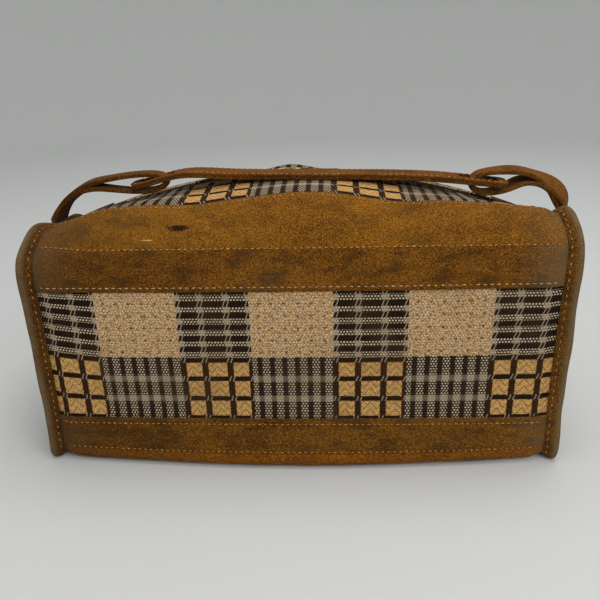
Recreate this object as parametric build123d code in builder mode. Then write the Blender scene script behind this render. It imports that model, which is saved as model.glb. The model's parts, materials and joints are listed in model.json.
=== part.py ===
from build123d import *
import math
import os

os.makedirs("parts", exist_ok=True)

# A soft travel bag of suede and woven cloth, in millimetres.
# X runs along the bag, Y from front to back, Z up from the face it rests on.

# Body
body_length = 340.0
body_depth = 170.0
cloth = 2.0
clearance = 0.3
section_count = 7

# Heights of the seams on the front and back
bottom_seam_height = 12.0
bottom_flat_margin = 4.0
woven_bottom_height = 35.0
woven_top_height = 131.0
shoulder_height = 156.5

# The sloped suede ends this far in from the front, and arches along the bag
slope_depth = 30.0
slope_top_height = 187.0
slope_top_drop = 20.0

# The crest carries the zip on one long arc
crest_height = 190.0
crest_drop = 33.0
crest_half_width = 16.0

# Rounding of the cross-section
bottom_radius = 18.0
shoulder_radius = 15.0
slope_top_radius = 25.0
crest_radius = 25.0

# End seams: suede binding over a welt cord, round a recessed end panel
binding_width = 12.0
binding_thickness = 7.0
binding_round = 3 / 7 * binding_thickness  # its long edges, within its own wall
binding_skin = 1.4
welt_diameter = 3.6
end_rim = 6.0

# Zip
zip_half_length = 152.0
zip_gap_half = 6.5
tape_thickness = 0.8
tape_half_width = 14.0
chain_gap = 1.8
coil_seat = 0.1
coil_width = 2.0
coil_height = 2.0
slider_length = 12.0
slider_width = 9.6
slider_plate = 1.0
slider_gap = 1.0
slider_post_length = 4.0
slider_post_width = 1.0
slider_wing = 1.2
slider_wing_depth = 1.4
slider_corner = 2.0
bridge_width = 2.0
bridge_length = 8.0
bridge_leg = 0.8
bridge_gap = 1.6
bridge_plate = 0.7
pull_length = 25.0
pull_width = 7.0
pull_plate = 1.2
pull_arm_width = 1.5
pull_arm_length = 5.5
pull_hole_radius = 1.5

# Suede tabs over the zip's ends
tab_half_width = 15.0
tab_thickness = 1.0
tab_seat = 0.05
tab_overlap = 6.0
tab_inset = 0.5

# Lining and base board
lining_thickness = 1.0
board_thickness = 3.0
board_margin = 7.0

# Handle
strap_width = 22.0
strap_thickness = 4.0
strap_centre_y = -17.0
strap_corner = 5.0
strap_bend = 60.0
slot_width = 16.0
crossbar = 6.0
slot_length = 26.0
slot_corner = 2.0
loop_thickness = 4.0
loop_base_width = 25.0
loop_eye_width = 12.0
loop_tab_gap = 0.3

# The strap's centre line, as (x, z) from its left end to its right end
strap_route = [
    (-118.0, 186.5),
    (-104.0, 188.0),
    (-80.0, 194.5),
    (-46.0, 192.7),
    (0.0, 192.5),
    (55.0, 191.3),
    (100.0, 189.6),
    (147.0, 183.3),
]

# Each loop's centre line, from its turn outside the binding to the eye and back,
# as (distance outwards from the end seam, z, bend radius)
left_loop_route = [
    (16.5, 143.5, 5.0),
    (16.0, 159.0, 12.0),
    (8.5, 172.0, 14.0),
    (-4.0, 181.0, 16.0),
    (-22.0, 187.6, 30.0),
    (-45.0, 191.6, 30.0),
    (-78.5, 193.6, 4.5),
    (-78.5, 184.0, 4.5),
    (-58.0, 180.8, 25.0),
    (-33.0, 185.2, 25.0),
    (-14.5, 182.0, 20.0),
    (-2.7, 176.5, 15.0),
    (8.6, 167.0, 10.0),
    (13.0, 159.0, None),
]
right_loop_route = [
    (22.0, 146.0, 7.0),
    (26.5, 159.0, 7.0),
    (20.0, 171.5, 14.0),
    (9.0, 180.5, 18.0),
    (-5.0, 187.0, 20.0),
    (-22.0, 190.0, 30.0),
    (-49.0, 189.6, 6.2),
    (-49.0, 176.2, 6.2),
    (-29.0, 176.6, 20.0),
    (-11.0, 181.6, 18.0),
    (4.3, 179.4, 14.0),
    (16.5, 170.3, 10.0),
    (23.2, 159.0, None),
]
loop_tab_low = 110.0
loop_tab_high = 133.0
loop_tab_bend = 8.0
loop_taper_start = -2.0
loop_taper_end = -42.0
loop_reach = 95.0

half_length = body_length / 2
half_depth = body_depth / 2
crest_arc = (half_length**2 + crest_drop**2) / (2 * crest_drop)
crest_axis_z = crest_height - crest_arc
slope_arc = (half_length**2 + slope_top_drop**2) / (2 * slope_top_drop)
crest_axis = Axis((0, 0, crest_axis_z), (0, 1, 0))


def arch(x, height, radius):
    """Height of an arc along the bag at x, with its top at the middle."""
    return height - radius + math.sqrt(radius**2 - x**2)


def section_corners(x, inset):
    """Corners of the cross-section at x, moved inwards, with a radius for each."""
    crest = arch(x, crest_height, crest_arc)
    slope_top = arch(x, slope_top_height, slope_arc)
    right = [
        (half_depth, 0),
        (half_depth, shoulder_height),
        (half_depth - slope_depth, slope_top),
        (crest_half_width, crest),
    ]
    outline = right + [(-y, z) for y, z in reversed(right)]
    radii = [bottom_radius, shoulder_radius, slope_top_radius, crest_radius]
    bends = [-1, -1, -1, -1 if slope_top < crest else 1]
    radii = [r + inset * b for r, b in zip(radii, bends)]
    corners = []
    for i, point in enumerate(outline):
        before = Vector(*outline[i - 1])
        here = Vector(*point)
        after = Vector(*outline[(i + 1) % len(outline)])
        way_in = (here - before).normalized()
        way_out = (after - here).normalized()
        normal_in = Vector(-way_in.Y, way_in.X)
        normal_out = Vector(-way_out.Y, way_out.X)
        middle = (normal_in + normal_out).normalized()
        corner = here + middle * (inset / middle.dot(normal_in))
        corners.append((corner.X, corner.Y))
    return corners, radii + radii[::-1]


def section_face(station, inset, x):
    """Rounded outline of the cross-section at a station, drawn on the plane at x."""
    corners, radii = section_corners(station, inset)
    with BuildSketch(Plane.YZ.offset(x)) as outline:
        with BuildLine():
            FilletPolyline(*corners, radius=radii, close=True)
        make_face()
    return outline.sketch


def body_solid(inset):
    """The whole bag as one solid, with its surface moved inwards."""
    with BuildPart() as body:
        for i in range(section_count):
            x = -half_length + body_length * i / (section_count - 1)
            add(section_face(x, inset, x))
        loft()
    return body.part


def cut_from(layer, x_range, y_range, z_range):
    """The part of a layer that lies in a box."""
    ranges = (x_range, y_range, z_range)
    centre = tuple((low + high) / 2 for low, high in ranges)
    size = tuple(high - low for low, high in ranges)
    with BuildPart() as piece:
        add(layer)
        with Locations(centre):
            Box(*size, mode=Mode.INTERSECT)
    return piece


def save(part, name):
    part.label = name
    export_step(part, f"parts/{name}.step")


# Cloth and suede panels: one skin, cut where its seams run
skin = body_solid(0) - body_solid(cloth)
along = (-half_length, half_length)
panel_rows = {
    "lower_band": (bottom_seam_height, woven_bottom_height),
    "woven_panel": (woven_bottom_height, woven_top_height),
    "suede_band": (woven_top_height, shoulder_height),
}
slope_edge = half_depth - slope_depth
roof = crest_height + cloth
sides = {
    "front": (lambda low, high: (-high, -low)),
    "back": (lambda low, high: (low, high)),
}
for side, span in sides.items():
    for row, heights in panel_rows.items():
        panel = cut_from(skin, along, span(slope_edge, half_depth), heights)
        save(panel.part, f"{side}_{row}")
    slope = cut_from(skin, along, span(slope_edge, half_depth), (shoulder_height, roof))
    save(slope.part, f"{side}_top_suede")
    strip = cut_from(skin, along, span(zip_gap_half, slope_edge), (woven_top_height, roof))
    save(strip.part, f"{side}_top_strip")

# The bottom's middle is a flat sheet, and its long edges turn up to the lower seams
bottom_flat = body_depth - 2 * (bottom_radius + bottom_flat_margin)
across = (-half_depth, half_depth)
bottom_skin = cut_from(skin, along, across, (0, bottom_seam_height))
with BuildPart() as bottom_panel:
    add(bottom_skin.part)
    Box(body_length, bottom_flat, 4 * cloth, mode=Mode.SUBTRACT)
    with Locations((0, 0, cloth / 2)):
        Box(body_length, bottom_flat, cloth)
save(bottom_panel.part, "bottom_panel")

# Lining: a thin bag of its own, open under the zip
lining_outside = cloth + clearance
lining_end = half_length - cloth - clearance
lining_inside = lining_outside + lining_thickness
lining_shell = cut_from(
    body_solid(lining_outside),
    (-lining_end, lining_end),
    (-half_depth, half_depth),
    (0, roof),
)
lining_room = cut_from(
    body_solid(lining_inside),
    (-lining_end + lining_thickness, lining_end - lining_thickness),
    (-half_depth, half_depth),
    (0, roof),
)
with BuildPart() as lining:
    add(lining_shell.part)
    add(lining_room.part, mode=Mode.SUBTRACT)
    with Locations((0, 0, crest_height)):
        Box(
            2 * zip_half_length,
            2 * (tape_half_width + clearance),
            crest_drop * 2,
            mode=Mode.SUBTRACT,
        )
save(lining.part, "lining")

# Base board, loose on the lining
board_half_depth = half_depth - bottom_radius - board_margin
with BuildPart() as base_board:
    with BuildSketch(Plane.XY.offset(lining_inside)):
        RectangleRounded(
            2 * (lining_end - board_margin), 2 * board_half_depth, board_margin
        )
    extrude(amount=board_thickness)
save(base_board.part, "base_board")

# End panels with turned rims, the binding round them and the welt cord inside it
ends = {"left": -1, "right": 1}
welt_x = half_length + end_rim + clearance + welt_diameter / 2
for end, side in ends.items():
    station = side * half_length
    outwards = (side, 0, 0)
    inwards = (-side, 0, 0)
    with BuildPart() as end_panel:
        extrude(section_face(station, cloth, station), amount=cloth, dir=inwards)
        extrude(section_face(station, cloth, station), amount=end_rim, dir=outwards)
        rim_room = section_face(station, 2 * cloth, station)
        extrude(rim_room, amount=end_rim, dir=outwards, mode=Mode.SUBTRACT)
    save(end_panel.part, f"{end}_end_panel")

    with BuildPart() as binding:
        outline = section_face(station, 0, station)
        extrude(outline, amount=binding_width, dir=outwards)
        opening = section_face(station, binding_thickness, station)
        extrude(opening, amount=binding_width, dir=outwards, mode=Mode.SUBTRACT)
        rim = binding.faces().filter_by(Axis.X).sort_by(Axis.X)[-1 if side > 0 else 0]
        fillet(rim.edges(), radius=binding_round)
        with BuildPart(mode=Mode.PRIVATE) as pocket:
            pocket_depth = binding_width - binding_skin
            pocket_outline = section_face(station, binding_skin, station)
            extrude(pocket_outline, amount=pocket_depth, dir=outwards)
            pocket_core = section_face(station, binding_thickness - binding_skin, station)
            extrude(pocket_core, amount=pocket_depth, dir=outwards, mode=Mode.SUBTRACT)
        add(pocket.part, mode=Mode.SUBTRACT)
    save(binding.part, f"{end}_binding")

    with BuildPart() as welt:
        corners, radii = section_corners(station, binding_thickness / 2)
        with BuildLine(Plane.YZ.offset(side * welt_x)) as welt_line:
            FilletPolyline(*corners, radius=radii, close=True)
        with BuildSketch(welt_line.line ^ 0):
            Circle(welt_diameter / 2)
        sweep()
    save(welt.part, f"{end}_welt_cord")


# Zip: every piece follows the crest's arc, so it is turned about the arc's axis
tape_high = -(cloth + clearance)
tape_low = tape_high - tape_thickness
coil_low = tape_high + coil_seat
coil_high = coil_low + coil_height


def on_arc(angle, outwards=1):
    """Plane that touches the crest at an angle from its top, with Z away from the bag."""
    turn = math.radians(angle)
    origin = (
        crest_arc * math.sin(turn),
        0,
        crest_axis_z + crest_arc * math.cos(turn),
    )
    along_zip = (outwards * math.cos(turn), 0, -outwards * math.sin(turn))
    return Plane(origin, x_dir=along_zip, z_dir=(math.sin(turn), 0, math.cos(turn)))


def arc_strip(y_range, rise_range, x_range):
    """A strip along the crest's arc between two places on the bag's length."""
    start, stop = (math.degrees(math.asin(x / crest_arc)) for x in x_range)
    touch = on_arc(start)
    across = Plane(touch.origin, x_dir=(0, 1, 0), z_dir=touch.x_dir)
    with BuildPart() as strip:
        with BuildSketch(across):
            with Locations((sum(y_range) / 2, sum(rise_range) / 2)):
                Rectangle(y_range[1] - y_range[0], rise_range[1] - rise_range[0])
        revolve(axis=crest_axis, revolution_arc=stop - start)
    return strip.part


zip_span = (-zip_half_length, zip_half_length)
chain_edge = chain_gap / 2
for side, span in sides.items():
    tape = arc_strip(span(chain_edge, tape_half_width), (tape_low, tape_high), zip_span)
    save(tape, f"{side}_zip_tape")
    coil_width_span = span(chain_edge, chain_edge + coil_width)
    coil = arc_strip(coil_width_span, (coil_low, coil_high), zip_span)
    save(coil, f"{side}_zip_coil")

for end, side in ends.items():
    x_inner = zip_half_length - tab_overlap
    x_outer = half_length - tab_inset
    tab_span = (x_inner, x_outer) if side > 0 else (-x_outer, -x_inner)
    tab_rise = (tab_seat, tab_seat + tab_thickness)
    tab = arc_strip((-tab_half_width, tab_half_width), tab_rise, tab_span)
    save(tab, f"{end}_zip_tab")

plate_low = coil_high + clearance
plate_high = plate_low + slider_plate
under_high = tape_low - clearance
bridge_high = plate_high + bridge_gap + bridge_plate
pivot_rise = plate_high + bridge_gap / 2
slider_x = (slider_length + slider_gap) / 2
slider_angle = math.degrees(math.asin(slider_x / crest_arc))
for end, side in ends.items():
    seat = on_arc(side * slider_angle, side)
    with BuildPart() as slider:
        for low in (plate_low, under_high - slider_plate):
            with BuildSketch(seat.offset(low)):
                RectangleRounded(slider_length, slider_width, slider_corner)
            extrude(amount=slider_plate)
        with BuildSketch(seat.offset(under_high)):
            Rectangle(slider_post_length, slider_post_width)
        extrude(amount=plate_low - under_high)
        with BuildSketch(seat.offset(plate_low - slider_wing_depth)):
            with GridLocations(0, slider_width - slider_wing, 1, 2):
                Rectangle(slider_length - 2 * slider_corner, slider_wing)
        extrude(amount=slider_wing_depth)
        bridge_plane = Plane(seat.origin, x_dir=seat.x_dir, z_dir=-seat.y_dir)
        with BuildSketch(bridge_plane):
            with Locations((0, plate_high)):
                bridge_size = bridge_high - plate_high
                Rectangle(
                    bridge_length, bridge_size, align=(Align.CENTER, Align.MIN)
                )
                Rectangle(
                    bridge_length - 2 * bridge_leg,
                    bridge_gap,
                    align=(Align.CENTER, Align.MIN),
                    mode=Mode.SUBTRACT,
                )
        extrude(amount=bridge_width / 2, both=True)
    save(slider.part, f"{end}_zip_slider")

    with BuildPart() as pull:
        with BuildSketch(seat.offset(pivot_rise - pull_plate / 2)):
            tip = pull_length - pull_width / 2
            Rectangle(tip, pull_width, align=(Align.MIN, Align.CENTER))
            with Locations((tip, 0)):
                Circle(pull_width / 2)
                Circle(pull_hole_radius, mode=Mode.SUBTRACT)
            eye_width = pull_width - 2 * pull_arm_width
            Rectangle(
                pull_arm_length,
                eye_width,
                align=(Align.MIN, Align.CENTER),
                mode=Mode.SUBTRACT,
            )
        extrude(amount=pull_plate)
        with BuildSketch(bridge_plane):
            with Locations((0, pivot_rise)):
                Circle(pull_plate / 2)
        extrude(amount=pull_width / 2, both=True)
    save(pull.part, f"{end}_zip_pull")


# Handle: a centre strap with a slot near each end, on its own route
strap_plane = Plane.XZ.offset(-strap_centre_y)
strap_left = strap_route[0][0]
strap_right = strap_route[-1][0]
with BuildPart() as handle_strap:
    with BuildSketch(strap_plane):
        with BuildLine():
            FilletPolyline(*strap_route, radius=strap_bend)
        trace(line_width=strap_thickness)
    extrude(amount=strap_width / 2, both=True)
    with BuildSketch(Plane.XY):
        with Locations(((strap_left + strap_right) / 2, strap_centre_y)):
            RectangleRounded(strap_right - strap_left, strap_width, strap_corner)
        slot_reach = crossbar + slot_length / 2
        slot_places = [
            (strap_left + slot_reach, strap_centre_y),
            (strap_right - slot_reach, strap_centre_y),
        ]
        with Locations(*slot_places):
            RectangleRounded(slot_length, slot_width, slot_corner, mode=Mode.SUBTRACT)
    extrude(amount=2 * crest_height, mode=Mode.INTERSECT)
save(handle_strap.part, "handle_strap")

# Loops: each strap is sewn flat on its end panel, turns out round the binding, rises to
# the eye that holds the crossbar, and comes back against its own inner face
loop_routes = {"left": left_loop_route, "right": right_loop_route}
loop_tab_out = loop_tab_gap + loop_thickness / 2
for end, side in ends.items():
    route = loop_routes[end]
    turn_back = tuple((route[7][i] + route[8][i]) / 2 for i in range(2))
    tab_points = [(loop_tab_out, loop_tab_low), (loop_tab_out, loop_tab_high)]
    outer_layer = tab_points + [(out, z) for out, z, bend in route[:8]] + [turn_back]
    inner_layer = [turn_back] + [(out, z) for out, z, bend in route[8:]]
    outer_bends = [loop_tab_bend] + [bend for out, z, bend in route[:8]]
    inner_bends = [bend for out, z, bend in route[8:-1]]
    with BuildPart() as loop:
        with BuildSketch(Plane.XZ):
            for layer, bends in ((outer_layer, outer_bends), (inner_layer, inner_bends)):
                with BuildLine():
                    places = [(side * (half_length + out), z) for out, z in layer]
                    FilletPolyline(*places, radius=bends)
                trace(line_width=loop_thickness)
        extrude(amount=half_depth, both=True)
        wide = loop_base_width / 2
        narrow = loop_eye_width / 2
        with BuildSketch(Plane.XY):
            with BuildLine():
                Polyline(
                    (side * (half_length + half_depth), wide),
                    (side * (half_length + loop_taper_start), wide),
                    (side * (half_length + loop_taper_end), strap_centre_y + narrow),
                    (side * (half_length - loop_reach), strap_centre_y + narrow),
                    (side * (half_length - loop_reach), strap_centre_y - narrow),
                    (side * (half_length + loop_taper_end), strap_centre_y - narrow),
                    (side * (half_length + loop_taper_start), -wide),
                    (side * (half_length + half_depth), -wide),
                    close=True,
                )
            make_face()
        extrude(amount=2 * crest_height, dir=(0, 0, 1), mode=Mode.INTERSECT)
    save(loop.part, f"{end}_loop")
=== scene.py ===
import json
import math
import random

import bmesh
import bpy
from mathutils import Matrix, Vector, noise


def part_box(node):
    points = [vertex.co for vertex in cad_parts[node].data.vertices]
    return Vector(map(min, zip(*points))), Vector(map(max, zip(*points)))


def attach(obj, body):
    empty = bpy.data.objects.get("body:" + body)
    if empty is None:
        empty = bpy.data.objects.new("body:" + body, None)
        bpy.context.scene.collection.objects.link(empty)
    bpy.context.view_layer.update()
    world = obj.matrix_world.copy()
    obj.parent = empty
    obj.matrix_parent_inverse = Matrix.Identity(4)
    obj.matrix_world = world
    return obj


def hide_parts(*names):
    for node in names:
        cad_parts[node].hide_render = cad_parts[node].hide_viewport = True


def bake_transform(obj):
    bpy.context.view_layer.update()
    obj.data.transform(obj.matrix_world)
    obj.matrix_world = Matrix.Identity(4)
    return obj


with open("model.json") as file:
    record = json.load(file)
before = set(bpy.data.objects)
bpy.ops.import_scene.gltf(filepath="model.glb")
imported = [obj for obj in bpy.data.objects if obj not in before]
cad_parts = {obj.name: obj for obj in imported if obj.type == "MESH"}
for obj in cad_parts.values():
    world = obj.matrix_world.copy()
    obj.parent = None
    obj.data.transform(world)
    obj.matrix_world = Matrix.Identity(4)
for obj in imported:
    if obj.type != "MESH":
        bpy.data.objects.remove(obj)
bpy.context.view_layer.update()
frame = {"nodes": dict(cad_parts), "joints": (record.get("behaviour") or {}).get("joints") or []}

print("frame loaded")

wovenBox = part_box("front_woven_panel")
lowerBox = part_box("front_lower_band")
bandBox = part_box("front_suede_band")
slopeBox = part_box("front_top_suede")
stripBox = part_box("front_top_strip")
zipJoint = next(j for j in frame["joints"] if j["name"] == "left_zip")

# The bag's own sizes, from its frame and two small laps
seamOut = 0.0022  # soft panels fill the binding's groove
bandLap = 0.0012  # the suede band reaches this far below its CAD edge
halfLength = wovenBox[1].x + seamOut
halfDepth = -wovenBox[0].y
bottomSeam = lowerBox[0].z
wovenLow = lowerBox[1].z
wovenHigh = bandBox[0].z - bandLap
shoulder = bandBox[1].z
slopeEdge = -slopeBox[1].y
crestTop = stripBox[1].z
zipAxisZ = zipJoint["pos_m"][2]
zipGap = -stripBox[1].y

# How the soft body hangs over that frame
bodyShape = {
    "slopeTop": 0.1848, "slopeDrop": 0.0105, "humpHigh": 0.0040, "humpWide": 0.034,
    "dipDeep": 0.0028, "dipWide": 0.022, "dipPlace": 0.068, "leftSink": 0.0075,
    "frontBulge": 0.0042, "bottomBulge": 0.0140, "crestPuff": 0.0056,
    "cornerFlare": 0.0045, "backSag": 0.0150, "backShoulderSag": 0.0200,
    "groovePinch": 0.0026, "grooveWide": 0.010, "wrinkle": 0.0007,
}


def smooth(value, low, high):
    t = min(max((value - low) / (high - low), 0.0), 1.0)
    return t * t * (3 - 2 * t)


def bell(value, middle, width):
    return math.exp(-(((value - middle) / width) ** 2))


def blendOf(a, b, t):
    return a + (b - a) * t


def splinePoint(near, f):  # a place on the cubic B-spline of four points
    weights = (
        (1 - f) ** 3 / 6, (3 * f ** 3 - 6 * f * f + 4) / 6,
        (-3 * f ** 3 + 3 * f * f + 3 * f + 1) / 6, f ** 3 / 6,
    )
    return tuple(sum(w * p[k] for w, p in zip(weights, near)) for k in range(2))


def crestAt(x):  # height of the zip's arc
    radius = crestTop - zipAxisZ
    return zipAxisZ + math.sqrt(radius ** 2 - x ** 2)


def slopeTopAt(x):  # height of the sloped suede's upper edge
    shape = bodyShape
    u = x / halfLength
    z = shape["slopeTop"] - shape["slopeDrop"] * u * u
    z += shape["humpHigh"] * bell(x, 0.010, shape["humpWide"])
    z -= shape["dipDeep"] * bell(abs(x), shape["dipPlace"], shape["dipWide"])
    return z - shape["leftSink"] * smooth(-u, 0.72, 1.0)


profiles = {}


def profileAt(x, side):  # (distance from the middle plane, height), bottom to crest
    key = (round(x, 6), side)
    if key not in profiles:
        shape = bodyShape
        u = x / halfLength
        fullness = 1 - u * u
        bulge = shape["frontBulge"] * fullness
        low = shape["bottomBulge"] * fullness + shape["cornerFlare"]
        sink = shape["leftSink"] * smooth(-u, 0.72, 1.0)
        top = slopeTopAt(x)
        crest = crestAt(x)
        if side > 0:  # the back half slumps lower than the front
            top = crest - shape["backSag"]
            sink = shape["backShoulderSag"] * smooth(abs(u), 0.45, 1.0)
        puff = shape["crestPuff"] * bell(x, -0.006, 0.019) if side > 0 else 0.0
        profiles[key] = [
            (0.0, 0.0), (0.040, 0.0), (halfDepth - 0.016 + 0.3 * low, -0.0015),
            (halfDepth - 0.001 + low, 0.001), (halfDepth + 0.6 * low, 0.014),
            (halfDepth + 0.05 * low, wovenLow), (halfDepth + bulge, 0.083),
            (halfDepth + bulge, 0.128 - 0.3 * sink), (halfDepth, 0.147 - 0.8 * sink),
            (halfDepth - 0.002, shoulder + 0.003 - sink),
            (halfDepth - 0.015, blendOf(shoulder - sink, top, 0.60)),
            (slopeEdge, top), (0.036, blendOf(top, crest, 0.45)),
            (0.018, crest + puff), (0.009, crest + 0.5 * puff), (zipGap, crest),
        ]
    return profiles[key]


lastKnot = 15


def onProfile(x, side, t):
    points = profileAt(x, side)
    i = min(int(t), lastKnot - 1)
    f = t - i
    before = points[i - 1] if i else (-points[1][0], points[1][1])
    after = points[min(i + 2, lastKnot)]
    near = (before, points[i], points[i + 1], after)
    return splinePoint(near, f)


knots = {}


def knotWhere(x, side, axis, value, low, high):  # profile parameter at a height or depth
    key = (round(x, 6), side, axis, value)
    if key in knots:
        return knots[key]
    rising = onProfile(x, side, high)[axis] > onProfile(x, side, low)[axis]
    for _ in range(24):
        middle = (low + high) / 2
        if (onProfile(x, side, middle)[axis] < value) == rising:
            low = middle
        else:
            high = middle
    knots[key] = (low + high) / 2
    return knots[key]


def knotAtHeight(x, side, z):
    return knotWhere(x, side, 1, z, 2.5, 11.0)


def knotAtDepth(x, side, y):
    return knotWhere(x, side, 0, y, 9.0, float(lastKnot))


def skinFrame(x, side, t):  # place on the skin, and the way out of the bag
    y, z = onProfile(x, side, t)
    y0, z0 = onProfile(x, side, max(t - 0.02, 0.0))
    y1, z1 = onProfile(x, side, min(t + 0.02, lastKnot - 0.001))
    way = Vector((y1 - y0, z1 - z0)).normalized()
    return Vector((x, side * y, z)), Vector((0, side * way.y, -way.x))


def skin(x, side, t, out=0.0):
    place, away = skinFrame(x, side, t)
    seed = 3.1 if side > 0 else 0.0
    broad = noise.noise(Vector((x * 11, t * 0.55, seed)))
    fine = noise.noise(Vector((x * 45, t * 1.9, seed + 7)))
    lift = bodyShape["wrinkle"] * (broad + 0.45 * fine)
    groove = halfLength - bodyShape["grooveWide"]
    lift -= bodyShape["groovePinch"] * smooth(abs(x), groove, halfLength)
    place += away * (out + lift)
    place.z = max(place.z, 0.0003)
    return place


def tint(r, g, b):  # a linear colour from 0-255 values
    def linear(value):
        s = value / 255
        return s / 12.92 if s <= 0.04045 else ((s + 0.055) / 1.055) ** 2.4

    return (linear(r), linear(g), linear(b), 1.0)


class Wire:  # a shader socket that takes part in plain arithmetic
    def __init__(self, paint, socket):
        self.paint = paint
        self.socket = socket

    def math(self, operation, *others):
        return self.paint.node("Math", {"operation": operation}, [self, *others])

    def __add__(self, other):
        return self.math("ADD", other)

    def __sub__(self, other):
        return self.math("SUBTRACT", other)

    def __mul__(self, other):
        return self.math("MULTIPLY", other)

    def __truediv__(self, other):
        return self.math("DIVIDE", other)

    def __rsub__(self, other):
        return self.paint.node("Math", {"operation": "SUBTRACT"}, [other, self])

    def __lt__(self, other):
        return self.math("LESS_THAN", other)

    def __neg__(self):
        return self * -1.0

    def __abs__(self):
        return self.math("ABSOLUTE")

    __radd__ = __add__
    __rmul__ = __mul__

    def least(self, other):
        return self.math("MINIMUM", other)

    def most(self, other):
        return self.math("MAXIMUM", other)

    def repeat(self, period):  # 0 to period, over and over
        return self.math("FLOORED_MODULO", period)

    def band(self, middle, width, soft):  # 1 near a value, with soft sides
        return self.step(middle - width / 2, soft) * (1 - self.step(middle + width / 2, soft))

    def step(self, edge, soft):
        stops = {"interpolation_type": "SMOOTHSTEP", "clamp": True}
        return self.paint.node(
            "MapRange", stops, {"Value": self, "From Min": edge - soft, "From Max": edge + soft}
        )


class Paint:  # one material and its nodes
    def __init__(self, name, **constants):
        self.material = bpy.data.materials.new(name)
        self.material.use_nodes = True
        self.tree = self.material.node_tree
        self.shader = self.tree.nodes["Principled BSDF"]
        for socket, value in constants.items():
            self.shader.inputs[socket.replace("_", " ")].default_value = value

    def node(self, kind, settings=None, inputs=None, out=0):
        made = self.tree.nodes.new("ShaderNode" + kind)
        for key, value in (settings or {}).items():
            if key == "stops":
                ramp = made.color_ramp.elements
                while len(ramp) < len(value):
                    ramp.new(0.5)
                for element, (position, colour) in zip(ramp, value):
                    element.position = position
                    element.color = colour
            else:
                setattr(made, key, value)
        given = dict(enumerate(inputs)) if isinstance(inputs, list) else inputs or {}
        for key, value in given.items():
            if isinstance(value, Wire):
                self.tree.links.new(value.socket, made.inputs[key])
            else:
                made.inputs[key].default_value = value
        return Wire(self, made.outputs[out])

    def feed(self, socket, wire):
        self.tree.links.new(wire.socket, self.shader.inputs[socket])

    def place(self, kind="Object"):
        return self.node("TexCoord", out=kind)

    def parts(self, vector):
        made = self.node("SeparateXYZ", inputs=[vector]).socket.node
        return [Wire(self, made.outputs[i]) for i in range(3)]

    def scaled(self, vector, x, y, z):
        return self.node("VectorMath", {"operation": "MULTIPLY"}, [vector, (x, y, z)])

    def noise(self, vector, scale, detail=2.0, rough=0.5):
        inputs = {"Vector": vector, "Scale": scale, "Detail": detail, "Roughness": rough}
        return self.node("TexNoise", inputs=inputs)

    def mix(self, factor, a, b):
        return self.node("Mix", {"data_type": "RGBA"}, {0: factor, 6: a, 7: b}, out=2)

    def bump(self, height, distance, strength=1.0):
        inputs = {"Height": height, "Distance": distance, "Strength": strength}
        self.feed("Normal", self.node("Bump", inputs=inputs))


suedeLook = {
    "dark": tint(44, 27, 12), "grey": tint(112, 94, 66), "haze": tint(74, 56, 34),
    "napSize": 1500, "grainSize": 640, "patchSize": 15, "napDepth": 0.0004,
}


def suede(
    name, tan, brown, darkness, scuff, leftGrey=0.0, rightGrey=0.0, marks=False, rim=0.0
):
    paint = Paint(name, Specular_IOR_Level=0.03, Sheen_Weight=0.03, Sheen_Roughness=0.5)
    where = paint.place()
    x, y, z = paint.parts(where)
    nap = paint.noise(where, suedeLook["napSize"], 2.0, 0.7)
    grain = paint.noise(where, suedeLook["grainSize"], 3.0, 0.75)
    patch = paint.noise(where, suedeLook["patchSize"], 5.0, 0.6)
    blotch = paint.noise(paint.scaled(where, 1, 1, 2.4), 48, 4.0, 0.65)
    light = paint.mix(0.45, tan, tint(196, 140, 62))
    colour = paint.mix(patch.step(0.5, 0.2), brown, tan)
    colour = paint.mix(grain.step(0.54, 0.08) * 0.65, colour, brown)
    colour = paint.mix(nap.step(0.55, 0.06) * 0.75, colour, light)
    colour = paint.mix((1 - nap.step(0.45, 0.06)) * 0.72, colour, suedeLook["dark"])
    shade = blotch.step(0.56, 0.12) * darkness
    colour = paint.mix(shade, colour, suedeLook["dark"])
    # Darker towards the left end: partly painted shade, where the left end lies in shade, and
    # partly soil.
    colour = paint.mix((-x).step(0.120, 0.075) * 0.45, colour, suedeLook["dark"])
    worn = (patch * 0.45 + blotch * 0.55).step(0.60, 0.10) * scuff
    colour = paint.mix(worn, colour, suedeLook["haze"])
    rubbed = x.step(halfLength - 0.016, 0.022) * rightGrey
    rubbed = rubbed.most((-x).step(halfLength - 0.016, 0.026) * leftGrey)
    if rim:
        rubbed = rubbed.most(abs(x).step(halfLength + 0.0050, 0.0022) * rim)
    rubbed = rubbed * (grain * 0.7 + blotch.step(0.45, 0.25) * 0.8).least(1.0)
    colour = paint.mix(rubbed, colour, suedeLook["grey"])
    if marks:
        colour = suedeMarks(paint, colour, x, y, z, grain)
    paint.feed("Base Color", colour)
    paint.feed("Roughness", 0.95 - worn * 0.25)
    height = nap * 0.4 + grain * 0.8 + blotch * 0.8
    paint.bump(height, suedeLook["napDepth"], 0.9)
    return paint.material


inkStain = {"x": -0.0745, "z": 0.1688, "long": 0.0080, "high": 0.0017}
paleScratch = {"x": -0.0940, "z": 0.1628, "long": 0.0044, "high": 0.0004}


def suedeMarks(paint, colour, x, y, z, grain):  # an ink stain and a short pale scratch
    front = y < 0.0
    for mark, ink in ((inkStain, tint(14, 12, 12)), (paleScratch, tint(190, 150, 90))):
        along = (x - mark["x"]) / mark["long"]
        across = (z - mark["z"]) / mark["high"]
        reach = along * along + across * across + (grain - 0.5) * 3.0
        colour = paint.mix((1 - reach.step(0.8, 0.45)) * 0.9 * front, colour, ink)
    return colour


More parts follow.
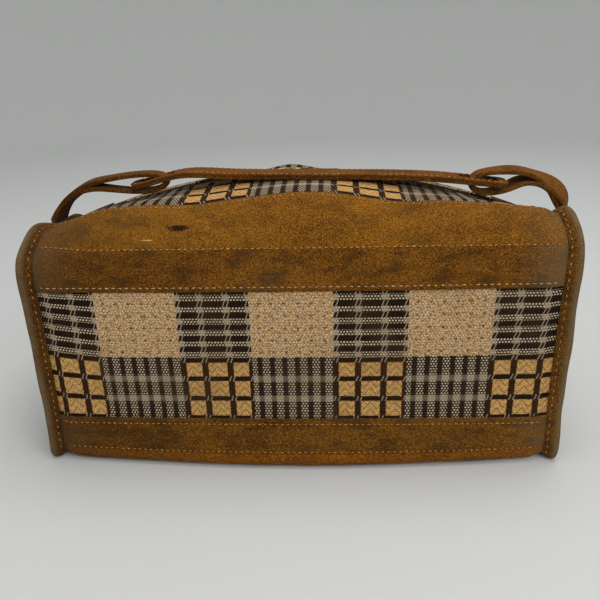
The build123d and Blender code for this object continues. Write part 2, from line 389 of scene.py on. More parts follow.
# Sizes of the woven check, in millimetres
weave = {
    "period": 103.7, "start": -78.3, "blockA": 48.8, "rows": 99.0, "rowStart": 32.0,
    "rowTwo": 49.0, "shift": 1.8, "thread": 2.1, "threadRow": 1.9, "boundary": 78.7,
    "barPitch": 8.25, "barHigh": 4.2, "stripePitch": 8.45, "stripeWide": 3.5,
    "lines": (1.3, 16.4, 33.6, 48.4),
    "lineWide": 4.4, "bars": (78.7, 64.2, 48.6, 33.4), "barThick": 3.9,
    "zigzagWide": 8.6, "zigzagHigh": 5.6,
}
clothLook = {
    "cream": tint(238, 204, 160), "peach": tint(198, 152, 100), "gold": tint(236, 188, 102),
    "dark": tint(30, 19, 9), "olive": tint(52, 38, 18), "pale": tint(204, 182, 152),
    "thread": tint(104, 66, 30), "soot": tint(42, 27, 17), "milk": tint(228, 206, 178),
}


def nearest(wire, places, width, soft):  # 1 near any of several places
    found = wire.band(places[0], width, soft)
    for place in places[1:]:
        found = found.most(wire.band(place, width, soft))
    return found


def wovenCloth(name):
    look = clothLook
    size = weave
    paint = Paint(name, Specular_IOR_Level=0.1)
    where = paint.place("UV")
    ragged = (paint.noise(where, 520, 2.0) - 0.5) * 0.7
    u, v, _ = paint.parts(where)
    u = u * 1000 + ragged
    v = v * 1000 + ragged - size["shift"]
    a = (u - size["start"]).repeat(size["period"])
    inA = a < size["blockA"]
    w = (v - size["rowStart"]).repeat(size["rows"])
    inTwo = w < size["rowTwo"]
    height = w + size["rowStart"]
    pitch = size["thread"]
    rowPitch = size["threadRow"]

    # beads of the ground weave, in staggered rows
    half = (v / rowPitch).math("FLOOR").repeat(2.0) * (pitch / 2)
    beadX = ((u + half).repeat(pitch) - pitch / 2) / (pitch * 0.34)
    beadY = (v.repeat(rowPitch) - rowPitch / 2) / (rowPitch * 0.36)
    bead = 1 - (beadX * beadX + beadY * beadY).step(1.0, 0.5)
    twill = (u * 0.8 + v).repeat(1.5).band(0.75, 0.8, 0.25)
    tone = paint.noise(where, 420, 2.0)

    # cream field of fine twill, flecked, with small dark marks on a grid
    fleckA = paint.noise(where, 760, 1.0, 0.6)
    fleckB = paint.noise(where, 690, 1.0, 0.6)
    fieldTone = paint.mix(tone.step(0.5, 0.08), look["cream"], look["peach"])
    fieldTone = paint.mix(fleckA.step(0.55, 0.05) * 0.9, fieldTone, look["gold"])
    fieldTone = paint.mix(fleckB.step(0.57, 0.05) * 0.9, fieldTone, look["milk"])
    fieldTone = paint.mix((1 - fleckA.step(0.44, 0.05)) * 0.8, fieldTone, look["thread"])
    field = paint.mix((1 - bead) * 0.40, fieldTone, look["thread"])
    field = paint.mix(twill * 0.15, field, look["pale"])
    markX = (u + 2.0).repeat(8.6) - 4.3
    markY = (v - 1.0).repeat(8.8) - 4.4
    mark = 1 - ((markX * markX) * 0.8 + (markY + abs(markX) * -0.8) * markY).step(0.9, 0.5)
    field = paint.mix(mark * 0.6, field, look["dark"])

    # dark bars across bands of pale beads, crossed by pairs of slanting threads
    bars = (height - size["boundary"] + size["barPitch"] / 2).repeat(size["barPitch"])
    bar = bars.band(size["barPitch"] / 2, size["barHigh"], 0.35)
    crossing = nearest(a, size["lines"], size["lineWide"], 0.8)
    beads = paint.mix(bead, look["dark"], look["pale"])
    twilled = paint.mix(twill * 0.45, look["pale"], look["olive"])
    ribs = paint.mix(crossing * 0.7, beads, twilled)
    slant = a - bars * 0.38 + 1.6
    strokes = [line + shift for line in size["lines"] for shift in (-1.3, 1.3)]
    stroke = nearest(slant, strokes, 0.6, 0.3)
    darkTone = paint.mix(tone, look["dark"], look["soot"])
    barColour = paint.mix(stroke * 0.65, darkTone, look["pale"])
    barred = paint.mix(bar, ribs, barColour)

    # golden squares with zigzag threads in a dark grid
    zig = abs((a - 3.3).repeat(size["zigzagWide"]) - size["zigzagWide"] / 2)
    zig = zig * (2 * size["zigzagHigh"] / size["zigzagWide"])
    zigLine = (height + zig).repeat(size["zigzagHigh"]).band(1.2, 0.9, 0.3)
    gold = paint.mix(tone.step(0.5, 0.15) * 0.7 + 0.3, look["gold"], look["peach"])
    gold = paint.mix((1 - bead) * 0.22, gold, look["thread"])
    gold = paint.mix(zigLine * 0.8, gold, look["thread"])
    line = nearest(a, size["lines"], size["lineWide"], 0.35)
    cross = nearest(height, size["bars"], size["barThick"], 0.35)
    grid = line.most(cross)
    gridRib = height.repeat(1.4).band(0.7, 0.5, 0.2) * line * 0.4
    gridColour = paint.mix(gridRib, darkTone, look["thread"])
    gridColour = paint.mix(stroke * cross * 0.7, gridColour, look["pale"])
    squares = paint.mix(grid, gold, gridColour)

    # dark stripes on flecked cloth, with paler bands where the grid's bars run on
    b = a - size["blockA"]
    stripe = (b - 0.6).repeat(size["stripePitch"]).band(4.6, size["stripeWide"], 0.45)
    dense = nearest(height, size["bars"][1:3], 4.6, 1.0)
    fleck = paint.mix(bead * 0.9, look["dark"], look["pale"])
    fleck = paint.mix(dense * 0.7, fleck, twilled)
    striped = paint.mix(stripe * (1 - dense * 0.35) * 0.96, fleck, darkTone)

    rowOne = paint.mix(inA, field, barred)
    rowTwo = paint.mix(inA, striped, squares)
    colour = paint.mix(inTwo, rowOne, rowTwo)
    soil = paint.noise(paint.place(), 24, 3.0).step(0.60, 0.14) * 0.25
    colour = paint.mix(soil, colour, tint(96, 72, 42))
    paint.feed("Base Color", colour)
    paint.shader.inputs["Roughness"].default_value = 0.92
    paint.bump(bead * 0.8 + twill * 0.25 + tone * 0.4, 0.0005, 0.9)
    return paint.material


def thread(name, colour):
    paint = Paint(name, Roughness=0.6, Specular_IOR_Level=0.3)
    where = paint.place()
    tone = paint.noise(where, 700, 2.0)
    paint.feed("Base Color", paint.mix(tone.step(0.5, 0.3), colour, tint(120, 70, 26)))
    x, _, _ = paint.parts(where)
    paint.bump((x * 2600).math("SINE"), 0.0002, 0.5)
    return paint.material


def metal(name):
    paint = Paint(name, Specular_IOR_Level=0.5)
    where = paint.place()
    wear = paint.noise(where, 300, 4.0)
    tone = paint.mix(wear.step(0.52, 0.2), tint(176, 138, 74), tint(96, 72, 44))
    paint.feed("Base Color", tone)
    paint.feed("Metallic", 1 - wear.step(0.62, 0.1) * 0.6)
    paint.feed("Roughness", wear * 0.35 + 0.2)
    paint.bump(paint.noise(where, 900, 3.0), 0.00008, 0.6)
    return paint.material


def plainWeave(name, colour, other, pitch, depth):  # tape, lining and board
    paint = Paint(name, Roughness=0.85, Specular_IOR_Level=0.2)
    where = paint.place()
    x, y, z = paint.parts(where)
    warp = (x * (6.2832 / pitch)).math("SINE")
    weft = ((y + z) * (6.2832 / pitch)).math("SINE")
    tone = paint.noise(where, 90, 3.0)
    mixed = (warp * weft * 0.25 + tone).step(0.5, 0.3)
    paint.feed("Base Color", paint.mix(mixed, colour, other))
    paint.bump(warp * weft, depth, 0.7)
    return paint.material


looks = {
    # The slope's tan is lighter than the band's: painted light, as the slope faces up. The band's
    # own darkness and scuffs are real dirt and wear.
    "slope": suede("suedeSlope", tint(140, 90, 18), tint(106, 63, 10), 0.35, 0.25, 0.2, 0.3, True),
    "band": suede("suedeBand", tint(124, 74, 14), tint(88, 50, 7), 0.60, 0.70, 0.35, 0.70),
    "lower": suede("suedeLower", tint(110, 68, 15), tint(80, 48, 8), 0.55, 0.55, 0.2, 0.4),
    "bottom": suede("suedeBottom", tint(136, 80, 12), tint(106, 58, 6), 0.35, 0.15, 0.2, 0.2),
    "binding": suede("suedeBinding", tint(112, 72, 26), tint(78, 47, 14), 0.55, 0.35, rim=0.85),
    "strap": suede("suedeStrap", tint(112, 64, 12), tint(80, 43, 7), 0.35, 0.15),
    "tab": suede("suedeTab", tint(66, 38, 16), tint(44, 24, 10), 0.5, 0.1),
    "cloth": wovenCloth("wovenCheck"),
    "creamThread": thread("creamThread", tint(226, 196, 140)),
    "orangeThread": thread("orangeThread", tint(226, 156, 76)),
    "metal": metal("agedBrass"),
    "tape": plainWeave("zipTape", tint(60, 38, 24), tint(40, 26, 18), 0.0009, 0.0002),
    "coil": plainWeave("zipCoil", tint(48, 32, 22), tint(70, 48, 32), 0.0009, 0.0001),
    "lining": plainWeave("liningCloth", tint(150, 124, 88), tint(120, 96, 66), 0.0012, 0.0003),
    "board": plainWeave("fibreBoard", tint(120, 96, 62), tint(92, 72, 46), 0.0040, 0.0003),
    "cord": plainWeave("welt", tint(170, 150, 112), tint(140, 118, 84), 0.0030, 0.0004),
}
print("materials made")


bagMiddle = Vector((0, 0, (wovenLow + wovenHigh) / 2))


def gridSheet(cols, rows, place, uv, closed=False):
    bm = bmesh.new()
    bmesh.ops.create_grid(bm, x_segments=cols, y_segments=rows, size=0.5)
    layer = bm.loops.layers.uv.new("UVMap")
    spots = {v: (v.co.x + 0.5, v.co.y + 0.5) for v in bm.verts}
    for face in bm.faces:
        for loop in face.loops:
            loop[layer].uv = uv(*spots[loop.vert])
    for v, spot in spots.items():
        v.co = place(*spot)
    if closed:
        bmesh.ops.remove_doubles(bm, verts=bm.verts, dist=0.00002)
        bmesh.ops.recalc_face_normals(bm, faces=bm.faces)
    return bm


def faceAway(bm, middle):  # turns an open sheet's faces away from a point
    bm.normal_update()
    facing = sum((f.calc_center_median() - middle).dot(f.normal) for f in bm.faces)
    if facing < 0:
        bmesh.ops.reverse_faces(bm, faces=bm.faces)


def finishPiece(bm, name, look, body="bag", nodes=(), thick=0.0, inset=-1.0):
    bm.normal_update()
    mesh = bpy.data.meshes.new(name)
    bm.to_mesh(mesh)
    bm.free()
    mesh.materials.append(looks[look])
    mesh.shade_smooth()
    piece = bpy.data.objects.new(name, mesh)
    bpy.context.scene.collection.objects.link(piece)
    if thick:
        wall = piece.modifiers.new("wall", "SOLIDIFY")
        wall.thickness = thick
        wall.offset = inset
        wall.use_even_offset = True
    if body:
        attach(piece, body)
    if nodes:
        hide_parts(*nodes)
    return piece


def roundEdges(piece, width):
    edge = piece.modifiers.new("edge", "BEVEL")
    edge.width = width
    edge.segments = 2
    edge.limit_method = "ANGLE"
    edge.angle_limit = math.radians(50)


panelShape = {"columns": 170, "clothLift": 0.0, "suedeLift": 0.0011, "clothThick": 0.0012,
              "suedeThick": 0.0014, "tuck": 0.004}


def bodyPanel(name, side, lowKnot, highKnot, rows, look, slot, nodes, vStart, lift, thick):
    def place(fx, fy):
        x = (2 * fx - 1) * halfLength
        t = blendOf(lowKnot(x, side), highKnot(x, side), fy)
        return skin(x, side, t, lift)

    middle = [place(0.5, row / rows) for row in range(rows + 1)]
    reach = [0.0]
    for near, far in zip(middle, middle[1:]):
        reach.append(reach[-1] + (far - near).length)

    def uv(fx, fy):  # distance along and up the cloth
        along = reach[round(fy * rows)]
        return ((2 * fx - 1) * halfLength, abs(vStart + along))

    bm = gridSheet(panelShape["columns"], rows, place, uv)
    faceAway(bm, bagMiddle)
    piece = finishPiece(bm, name, look, nodes=nodes, thick=thick)
    slot == "woven_cloth"


def heightLine(z):
    return lambda x, side: knotAtHeight(x, side, z)


def shoulderAt(offset):  # the shoulder seam, lower where the back slumps
    def line(x, side):
        sag = bodyShape["backShoulderSag"] * smooth(abs(x) / halfLength, 0.45, 1.0)
        return knotAtHeight(x, side, shoulder + offset - (sag if side > 0 else 0.0))

    return line


def bandAt(offset):  # the band's lower seam
    def line(x, side):
        sag = bodyShape["backShoulderSag"] * smooth(abs(x) / halfLength, 0.45, 1.0)
        return knotAtHeight(x, side, wovenHigh + offset - (0.4 * sag if side > 0 else 0.0))

    return line


def depthLine(y):
    return lambda x, side: knotAtDepth(x, side, y)


tuck = panelShape["tuck"]
cloth = (panelShape["clothLift"], panelShape["clothThick"])
leather = (panelShape["suedeLift"], panelShape["suedeThick"])
shoulderLine = shoulderAt(0.0)
topLine = depthLine(slopeEdge)
stripStart = 0.0885  # where the top strip was cut from the woven check
for side, word in ((-1, "front"), (1, "back")):
    bodyPanel(
        word + "LowerBand", side, heightLine(bottomSeam), heightLine(wovenLow), 30,
        "lower", "suede", [word + "_lower_band"], bottomSeam, *leather,
    )
    bodyPanel(
        word + "WovenPanel", side, heightLine(wovenLow - tuck), bandAt(tuck),
        40, "cloth", "woven_cloth", [word + "_woven_panel"],
        wovenLow - tuck, *cloth,
    )
    bodyPanel(
        word + "SuedeBand", side, bandAt(0.0), shoulderLine, 18,
        "band", "suede", [word + "_suede_band"], wovenHigh, *leather,
    )
    bodyPanel(
        word + "TopSuede", side, shoulderLine, topLine, 26,
        "slope", "suede", [word + "_top_suede"], shoulder, *leather,
    )
    bodyPanel(
        word + "TopStrip", side, depthLine(slopeEdge + tuck), depthLine(zipGap + 0.0002), 30,
        "cloth", "woven_cloth", [word + "_top_strip"], -stripStart, *cloth,
    )
print("body panels made")


def bottomPlace(fx, fy):
    x = (2 * fx - 1) * halfLength
    side = -1 if fy < 0.5 else 1
    reach = abs(2 * fy - 1)
    t = reach * knotAtHeight(x, side, bottomSeam)
    return skin(x, side, t, panelShape["suedeLift"] * 0.5)


bottom = gridSheet(
    panelShape["columns"], 60, bottomPlace,
    lambda fx, fy: ((2 * fx - 1) * halfLength, (2 * fy - 1) * halfDepth),
)
faceAway(bottom, bagMiddle)
finishPiece(
    bottom, "bottomPanel", "bottom", nodes=["bottom_panel"],
    thick=panelShape["suedeThick"],
)


endShape = {
    "steps": 240, "ribRows": 30, "ribSwell": 0.10, "panelRows": 40, "panelInset": 0.0052,
    "panelBulge": 0.0075, "panelSink": 0.0016, "panelSag": 0.0012,
}
bindingSection = [  # (outwards along the bag, outwards from the skin), round the rib
    (-0.0007, -0.0032), (0.0004, -0.0014), (0.0016, -0.0008), (0.0034, 0.0012),
    (0.0062, 0.0030), (0.0090, 0.0022), (0.0104, -0.0008), (0.0102, -0.0042),
    (0.0080, -0.0064), (0.0044, -0.0072), (0.0010, -0.0070), (-0.0009, -0.0055),
]


def closedCurve(points, t):  # a rounded closed line through near its corners
    n = len(points)
    i = int(t * n) % n
    f = t * n - int(t * n)
    near = [points[(i + k) % n] for k in (-1, 0, 1, 2)]
    return splinePoint(near, f)


def endLoop(x):  # evenly spaced places round the bag's end, with the way out at each
    count = 160
    knots = [lastKnot * i / count for i in range(count)]
    line = [onProfile(x, -1, t) for t in knots]
    line = [(-y, z) for y, z in line]
    line += [onProfile(x, 1, t) for t in reversed(knots)]
    lengths = [0.0]
    for a, b in zip(line, line[1:] + line[:1]):
        lengths.append(lengths[-1] + math.dist(a, b))
    steps = endShape["steps"]
    places = []
    for i in range(steps):
        target = lengths[-1] * i / steps
        j = next(k for k in range(len(line)) if lengths[k + 1] >= target)
        span = max(lengths[j + 1] - lengths[j], 1e-9)
        f = (target - lengths[j]) / span
        a, b = line[j], line[(j + 1) % len(line)]
        places.append((blendOf(a[0], b[0], f), blendOf(a[1], b[1], f)))
    loop = []
    for i, (y, z) in enumerate(places):
        before, after = places[i - 3], places[(i + 3) % steps]
        way = Vector((after[0] - before[0], after[1] - before[1])).normalized()
        loop.append((Vector((0, y, z)), Vector((0, -way.y, way.x)), lengths[-1]))
    return loop


for side, word in ((-1, "left"), (1, "right")):
    station = side * halfLength
    loop = endLoop(station)
    around = loop[0][2]

    def ribPlace(fx, fy):
        i = round(fx * endShape["steps"]) % endShape["steps"]
        place, away, _ = loop[i]
        along, out = closedCurve(bindingSection, fy % 1.0)
        wobble = noise.noise(Vector((place.y * 40, place.z * 40, side * 5.0)))
        swell = 1 + endShape["ribSwell"] * wobble
        spot = place + away * (out * swell) + Vector((station + side * along * swell, 0, 0))
        spot.z = max(spot.z, 0.0002)
        return spot

    def ribUv(fx, fy):
        return (fx * around, fy * 0.045)

    rib = gridSheet(endShape["steps"], endShape["ribRows"], ribPlace, ribUv, closed=True)
    finishPiece(rib, word + "Binding", "binding", nodes=[word + "_binding"])

    def endPlace(fx, fy):
        i = round(fx * endShape["steps"]) % endShape["steps"]
        place, away, _ = loop[i]
        edge = place - away * endShape["panelInset"]
        centre = Vector((0, 0, (wovenLow + wovenHigh) / 2))
        spot = centre + (edge - centre) * fy
        bulge = endShape["panelBulge"] * (1 - fy ** 2.4)
        bulge *= 1 - 0.9 * smooth(spot.z, 0.085, 0.118)  # nearly flat where the loop is sewn on
        sag = endShape["panelSag"] * noise.noise(Vector((spot.y * 25, spot.z * 25, side * 2.0)))
        spot.x = station + side * (bulge - endShape["panelSink"] + sag * (1 - fy))
        return spot

    def endUv(fx, fy):
        spot = endPlace(fx, fy)
        return (spot.y, spot.z)

    endSheet = gridSheet(endShape["steps"], endShape["panelRows"], endPlace, endUv)
    bmesh.ops.remove_doubles(endSheet, verts=endSheet.verts, dist=0.00001)
    faceAway(endSheet, bagMiddle)
    cutArea = sum(face.calc_area() for face in endSheet.faces)
    endPiece = finishPiece(
        endSheet, word + "EndPanel", "cloth",
        nodes=[word + "_end_panel"], thick=panelShape["clothThick"],
    )
print("ends made")


weltShape = {"along": 0.0050, "out": -0.0030, "radius": 0.0015}


def weltPlace(side, loop):  # the cord hidden in the binding
    def place(fx, fy):
        i = round(fx * endShape["steps"]) % endShape["steps"]
        spot, away, _ = loop[i]
        turn = 2 * math.pi * fy
        along = weltShape["along"] + weltShape["radius"] * math.cos(turn)
        out = weltShape["out"] + weltShape["radius"] * math.sin(turn)
        return spot + away * out + Vector((side * (halfLength + along), 0, 0))

    return place


for side, word in ((-1, "left"), (1, "right")):
    welt = gridSheet(
        endShape["steps"], 10, weltPlace(side, endLoop(side * halfLength)),
        lambda fx, fy: (fx, fy), closed=True,
    )
    finishPiece(welt, word + "WeltCord", "cord", nodes=[word + "_welt_cord"])


liningShape = {
    "columns": 90, "rows": 120, "inset": 0.0038, "floorInset": 0.0019, "endInset": 0.004,
    "thick": 0.0008, "cap": 0.14,
}


def liningPlace(fx, fy):  # across: end to end, with a cap at each end; round: lip to lip
    side = -1 if fy < 0.5 else 1
    t = abs(2 * fy - 1) * lastKnot
    cap = liningShape["cap"]
    along = min(max((fx - cap) / (1 - 2 * cap), 0.0), 1.0)
    inward = min(fx, 1 - fx) / cap
    reach = halfLength - liningShape["endInset"]
    x = blendOf(-reach, reach, along)
    inset = blendOf(liningShape["floorInset"], liningShape["inset"], smooth(t, 2.0, 3.4))
    spot = skin(x, side, t, -inset)
    if inward < 1:
        middle = Vector((x, 0, bagMiddle.z))
        spot.y *= 1 - smooth(t, 14.2, 15.0) * smooth(1 - inward, 0.0, 0.1)
        spot = middle + (spot - middle) * inward
    return spot


lining = gridSheet(
    liningShape["columns"], liningShape["rows"], liningPlace,
    lambda fx, fy: (fx * 0.5, fy * 0.5),
)
bmesh.ops.remove_doubles(lining, verts=lining.verts, dist=0.00004)
faceAway(lining, bagMiddle)
cutArea = sum(face.calc_area() for face in lining.faces)
rows = liningShape["rows"]
cutRound = [liningPlace(0.5, step / rows) for step in range(rows + 1)]
cutWidth = sum((far - near).length for near, far in zip(cutRound, cutRound[1:]))
# the cut's length holds both ends, which fold up from the floor
liningPiece = finishPiece(
    lining, "liningBag", "lining", nodes=["lining"], thick=liningShape["thick"]
)
print("lining made")


stitchShape = {"fat": 0.00085, "flat": 0.8, "lean": 0.16, "endGap": 0.0035, "lift": 0.0003}
jitter = random.Random(7)


def addStitch(bm, spot, along, away, long):
    across = away.cross(along).normalized()
    lean = jitter.uniform(-stitchShape["lean"], stitchShape["lean"])
    along = (along + across * lean).normalized()
    across = away.cross(along).normalized()
    fat = stitchShape["fat"] * jitter.uniform(0.85, 1.1)
    size = Matrix.Diagonal((long * jitter.uniform(0.88, 1.04), fat, fat * stitchShape["flat"], 1))
    turn = Matrix((along, across, away)).transposed().to_4x4()
    matrix = Matrix.Translation(spot) @ turn @ size
    bmesh.ops.create_icosphere(bm, subdivisions=1, radius=0.5, matrix=matrix)


def stitchPiece(name, bm, look, body="bag"):
    finishPiece(bm, name, look, body)


def stitchLine(name, side, knotAt, pitch, look, lift, long):
    bm = bmesh.new()
    reach = halfLength - stitchShape["endGap"]
    count = int(2 * reach / pitch)
    for i in range(count + 1):
        x = -reach + pitch * (i + 0.5)
        if abs(x) > reach:
            continue
        t = knotAt(x, side)
        spot = skin(x, side, t, lift)
        ahead = skin(x + 0.001, side, knotAt(x + 0.001, side), lift)
        away = skinFrame(x, side, t)[1]
        addStitch(bm, spot, (ahead - spot).normalized(), away, long)
    stitchPiece(name, bm, look)


seamLines = [  # (name, knot line, pitch, thread, length)
    ("ShoulderStitch", shoulderAt(0.0005), 0.00392, "orangeThread", 0.0028),
    ("BandStitch", bandAt(0.003), 0.00443, "creamThread", 0.0032),
    ("LowerStitch", heightLine(wovenLow - 0.004), 0.00400, "orangeThread", 0.0028),
    ("HemStitch", heightLine(bottomSeam + 0.0005), 0.00410, "orangeThread", 0.0024),
    ("SlopeStitch", depthLine(slopeEdge + 0.0028), 0.00395, "orangeThread", 0.0026),
]
stitchLift = panelShape["suedeLift"] + stitchShape["lift"]
for side, word in ((-1, "front"), (1, "back")):
    for label, line, pitch, look, long in seamLines:
        stitchLine(word + label, side, line, pitch, look, stitchLift, long)

for side, word in ((-1, "left"), (1, "right")):
    bm = bmesh.new()
    loop = endLoop(side * halfLength)
    steps = endShape["steps"]
    for i in range(0, steps, 2):
        spot, away, _ = loop[i]
        if spot.z < 0.006:
            continue
        ahead = loop[(i + 1) % steps][0]
        place = spot + away * 0.0001 + Vector((side * (halfLength + 0.0018), 0, 0))
        addStitch(bm, place, (ahead - spot).normalized(), away, 0.0026)
    stitchPiece(word + "BindingStitch", bm, "orangeThread")
print("stitches made")


zipShape = {
    "toothPitch": 0.0015, "toothLong": 0.0022, "toothFat": 0.0011, "toothHigh": 0.0019,
    "toothSink": 0.0010,
}
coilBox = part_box("front_zip_coil")
coilTop = coilBox[1].z - crestTop
coilY = -(coilBox[0].y + coilBox[1].y) / 2
coilReach = coilBox[1].x
for side, word in ((-1, "front"), (1, "back")):
    bm = bmesh.new()
    for i in range(int(2 * coilReach / zipShape["toothPitch"])):
        x = -coilReach + zipShape["toothPitch"] * (i + 0.5)
        slope = Vector((crestAt(x) - zipAxisZ, 0, -x)).normalized()
        away = Vector((-slope.z, 0, slope.x))
        spot = Vector((x, side * coilY, crestAt(x) + coilTop - zipShape["toothSink"]))
        turn = Matrix((slope, Vector((0, 1, 0)), away)).transposed().to_4x4()
        fat = zipShape["toothFat"]
        size = Matrix.Diagonal((fat, zipShape["toothLong"], zipShape["toothHigh"], 1))
        matrix = Matrix.Translation(spot) @ turn @ size
        bmesh.ops.create_icosphere(bm, subdivisions=1, radius=0.5, matrix=matrix)
    finishPiece(bm, word + "ZipTeeth", "coil", nodes=[word + "_zip_coil"])

nodeLooks = {
    "front_zip_tape": "tape", "back_zip_tape": "tape", "base_board": "board",
    "left_zip_tab": "tab", "right_zip_tab": "tab", "left_zip_slider": "metal",
    "right_zip_slider": "metal", "left_zip_pull": "metal", "right_zip_pull": "metal",
}
for node, look in nodeLooks.items():
    piece = frame["nodes"][node]
    piece.data.materials.clear()
    piece.data.materials.append(looks[look])
print("zip made")


# The strap's centre line, end to end, and each loop's, outwards from the end seam
strapRoute = [
    (-0.118, 0.1870), (-0.104, 0.1890), (-0.080, 0.1968), (-0.046, 0.1932),
    (0.0, 0.1925), (0.055, 0.1913), (0.100, 0.1896), (0.147, 0.1833),
]
loopRoutes = {
    "left": [
        (0.0023, 0.110), (0.0023, 0.133), (0.0165, 0.1435), (0.0148, 0.1585),
        (0.0060, 0.172), (-0.007, 0.1825), (-0.024, 0.1895), (-0.046, 0.1945),
        (-0.0800, 0.1965), (-0.0800, 0.184), (-0.058, 0.1808), (-0.033, 0.1852),
        (-0.0145, 0.182), (-0.0027, 0.1765), (0.0086, 0.167), (0.013, 0.159),
    ],
    "right": [
        (0.0023, 0.110), (0.0023, 0.133), (0.022, 0.146), (0.0265, 0.159),
        (0.020, 0.1720), (0.009, 0.1815), (-0.005, 0.1885), (-0.022, 0.1918),
        (-0.050, 0.1926), (-0.050, 0.1745), (-0.020, 0.1766), (-0.011, 0.1816),
        (0.0043, 0.1794), (0.0165, 0.1703), (0.0232, 0.159),
    ],
}
strapShape = {
    "middle": (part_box("handle_strap")[0].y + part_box("handle_strap")[1].y) / 2,
    "wide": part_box("handle_strap")[1].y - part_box("handle_strap")[0].y,
    "ply": 0.0019, "slotWide": 0.016, "slotFrom": 0.006, "slotTo": 0.032, "corner": 0.0045,
    "edge": 0.0006, "stitchStep": 0.0040, "stitchInset": 0.0017, "stitchLift": 0.00155,
    "stitchEnd": 0.004,
}
loopShape = {
    "baseWide": 0.025, "eyeWide": 0.012, "thick": 0.0034, "edge": 0.0007, "cup": 0.0008,
    "wave": 0.0006, "twist": {"left": 0.0, "right": 0.6}, "twistPlace": 0.27, "twistWide": 0.10,
}


def openCurve(points, t):  # a smooth line through near its points, t from 0 to 1
    last = len(points) - 1
    i = min(int(t * last), last - 1)
    f = t * last - i
    first = (2 * points[0][0] - points[1][0], 2 * points[0][1] - points[1][1])
    end = (2 * points[-1][0] - points[-2][0], 2 * points[-1][1] - points[-2][1])
    padded = [first, *points, end]
    near = padded[i:i + 4]
    return splinePoint(near, f)


strapLow, strapHigh = strapRoute[0][0], strapRoute[-1][0]


def strapFrame(x):  # the strap's middle at a place along it, and its upward way
    low, high = 0.0, 1.0
    for _ in range(22):
        middle = (low + high) / 2
        if openCurve(strapRoute, middle)[0] < x:
            low = middle
        else:
            high = middle
    here = openCurve(strapRoute, low)
    before = openCurve(strapRoute, max(low - 0.004, 0.0))
    after = openCurve(strapRoute, min(low + 0.004, 1.0))
    way = Vector((after[0] - before[0], after[1] - before[1])).normalized()
    return Vector((here[0], strapShape["middle"], here[1])), Vector((-way.y, 0, way.x))


def inSlot(spot):
    fromEnd = min(spot.x - strapLow, strapHigh - spot.x)
    inside = strapShape["slotFrom"] < fromEnd < strapShape["slotTo"]
    return inside and abs(spot.y - strapShape["middle"]) < strapShape["slotWide"] / 2


def strapPly(name, lift, narrow):
    wide = strapShape["wide"] / 2 - narrow

    def place(fx, fy):
        x = blendOf(strapLow, strapHigh, fx)
        middle, up = strapFrame(x)
        fromEnd = min(x - strapLow, strapHigh - x)
        corner = strapShape["corner"]
        cut = corner - math.sqrt(max(corner ** 2 - max(corner - fromEnd, 0.0) ** 2, 0.0))
        across = (2 * fy - 1) * (wide - cut)
        wave = 0.0005 * noise.noise(Vector((x * 30, across * 60, 4.0)))
        curl = -0.0007 * (2 * fy - 1) ** 4
        return middle + up * (lift + wave + curl) + Vector((0, across, 0))

    bm = gridSheet(212, 22, place, lambda fx, fy: (fx * 0.265, fy * 0.022))
    holes = [f for f in bm.faces if inSlot(f.calc_center_median())]
    bmesh.ops.delete(bm, geom=holes, context="FACES")
    faceAway(bm, Vector((0, 0, -1.0)))
    piece = finishPiece(
        bm, name, "strap", "handle", ["handle_strap"], strapShape["ply"], 0.0
    )
    roundEdges(piece, strapShape["edge"])


strapPly("strapUpperPly", 0.00100, 0.0)
strapPly("strapLowerPly", -0.00098, 0.0003)

strapStitches = bmesh.new()
for edgeSide in (-1, 1):
    x = strapLow + strapShape["stitchEnd"]
    while x < strapHigh - strapShape["stitchEnd"]:
        middle, up = strapFrame(x)
        ahead = strapFrame(x + 0.001)[0]
        offset = edgeSide * (strapShape["wide"] / 2 - strapShape["stitchInset"])
        spot = middle + up * strapShape["stitchLift"] + Vector((0, offset, 0))
        addStitch(strapStitches, spot, (ahead - middle).normalized(), up, 0.0026)
        x += strapShape["stitchStep"]
stitchPiece("strapStitch", strapStitches, "orangeThread", "handle")


def loopFrame(word, side, t):
    route = loopRoutes[word]
    out, z = openCurve(route, t)
    before = openCurve(route, max(t - 0.004, 0.0))
    after = openCurve(route, min(t + 0.004, 1.0))
    way = Vector((side * (after[0] - before[0]), 0, after[1] - before[1])).normalized()
    taper = smooth(-out, 0.002, 0.042)
    y = strapShape["middle"] * taper
    wide = blendOf(loopShape["baseWide"], loopShape["eyeWide"], taper)
    return Vector((side * (halfLength + out), y, z)), way, wide


for side, word in ((-1, "left"), (1, "right")):

    def loopPlace(fx, fy):
        middle, way, wide = loopFrame(word, side, fx)
        twist = loopShape["twist"][word]
        twist *= bell(fx, loopShape["twistPlace"], loopShape["twistWide"])
        across = (2 * fy - 1) * wide / 2
        level = Vector((0, 1, 0))
        away = way.cross(level) * -side
        level, away = (
            level * math.cos(twist) + away * math.sin(twist),
            away * math.cos(twist) - level * math.sin(twist),
        )
        cup = -loopShape["cup"] * (2 * fy - 1) ** 2
        wave = loopShape["wave"] * noise.noise(Vector((fx * 9, fy * 1.5, side * 3.0)))
        return middle + away * (cup + wave) + level * across

    bm = gridSheet(150, 12, loopPlace, lambda fx, fy: (fx * 0.3, fy * 0.02))
    piece = finishPiece(
        bm, word + "Loop", "strap", None, [word + "_loop"],
        loopShape["thick"], 0.0,
    )
    roundEdges(piece, loopShape["edge"])
    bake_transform(piece)
print("handle made")


room = {
    "floorColour": (0.62, 0.63, 0.62, 1.0), "worldGain": 0.62,
    "floorReach": 4.6, "floorFlat": 1.7, "floorBend": 1.1,
    "camera": (0.0255, -0.460, 0.272), "yaw": -3.3, "pitch": 21.7, "roll": -1.75,
    "lens": 37.2, "sensor": 36.0,
}


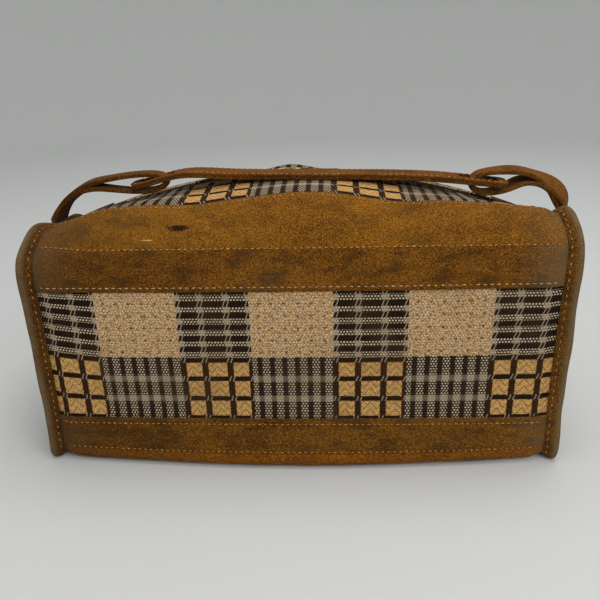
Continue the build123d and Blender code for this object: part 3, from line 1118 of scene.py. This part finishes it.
def floorPlace(fx, fy):  # a round floor that curves up all about
    turn = 2 * math.pi * fx
    run = fy * room["floorReach"]
    flat, bend = room["floorFlat"], room["floorBend"]
    climb = min(max((run - flat) / bend, 0.0), math.pi / 2)
    rise = max(run - flat - bend * math.pi / 2, 0.0)
    radius = min(run, flat) + bend * math.sin(climb)
    height = bend * (1 - math.cos(climb)) + rise
    return Vector((radius * math.cos(turn), radius * math.sin(turn), height))


floorMesh = bpy.data.meshes.new("floor")
floorBm = gridSheet(72, 60, floorPlace, lambda fx, fy: (fx, fy), closed=True)
floorBm.to_mesh(floorMesh)
floorBm.free()
floorMesh.shade_smooth()
floorPaint = Paint("paleFloor", Roughness=0.75, Base_Color=room["floorColour"])
floorMesh.materials.append(floorPaint.material)
floor = bpy.data.objects.new("floor", floorMesh)
bpy.context.scene.collection.objects.link(floor)


def softLight(name, place, aim, size, power):
    lamp = bpy.data.lights.new(name, "AREA")
    lamp.shape = "DISK"
    lamp.size = size
    lamp.energy = power
    light = bpy.data.objects.new(name, lamp)
    light.location = place
    light.rotation_euler = (Vector(aim) - Vector(place)).to_track_quat("-Z", "Y").to_euler()
    bpy.context.scene.collection.objects.link(light)


softLight("topLight", (0.25, 0.10, 1.50), (0, 0, 0.1), 1.1, 8.8)
softLight("keyLight", (0.80, -1.00, 0.95), (0, 0, 0.1), 0.9, 7.2)
softLight("fillLight", (-1.10, -0.80, 0.60), (0, 0, 0.1), 1.2, 2.5)

world = bpy.data.worlds.new("studio")
bpy.context.scene.world = world
world.use_nodes = True
world.node_tree.nodes["Background"].inputs["Strength"].default_value = room["worldGain"]
world.node_tree.nodes["Background"].inputs["Color"].default_value = (1, 1, 1, 1)
bpy.context.scene.view_settings.view_transform = "Standard"

yaw, pitch, roll = (math.radians(room[k]) for k in ("yaw", "pitch", "roll"))
ahead = Vector((
    math.sin(yaw) * math.cos(pitch), math.cos(yaw) * math.cos(pitch), -math.sin(pitch)
))
across = Vector((math.cos(yaw), -math.sin(yaw), 0))
upward = across.cross(ahead)
tilted = across * math.cos(roll) + upward * math.sin(roll)
upward = upward * math.cos(roll) - across * math.sin(roll)
cameraData = bpy.data.cameras.new("camera")
cameraData.lens = room["lens"]
cameraData.sensor_width = room["sensor"]
camera = bpy.data.objects.new("camera", cameraData)
turn = Matrix((tilted, upward, -ahead)).transposed().to_4x4()
camera.matrix_world = Matrix.Translation(room["camera"]) @ turn
bpy.context.scene.collection.objects.link(camera)
bpy.context.scene.camera = camera
print("stage made")
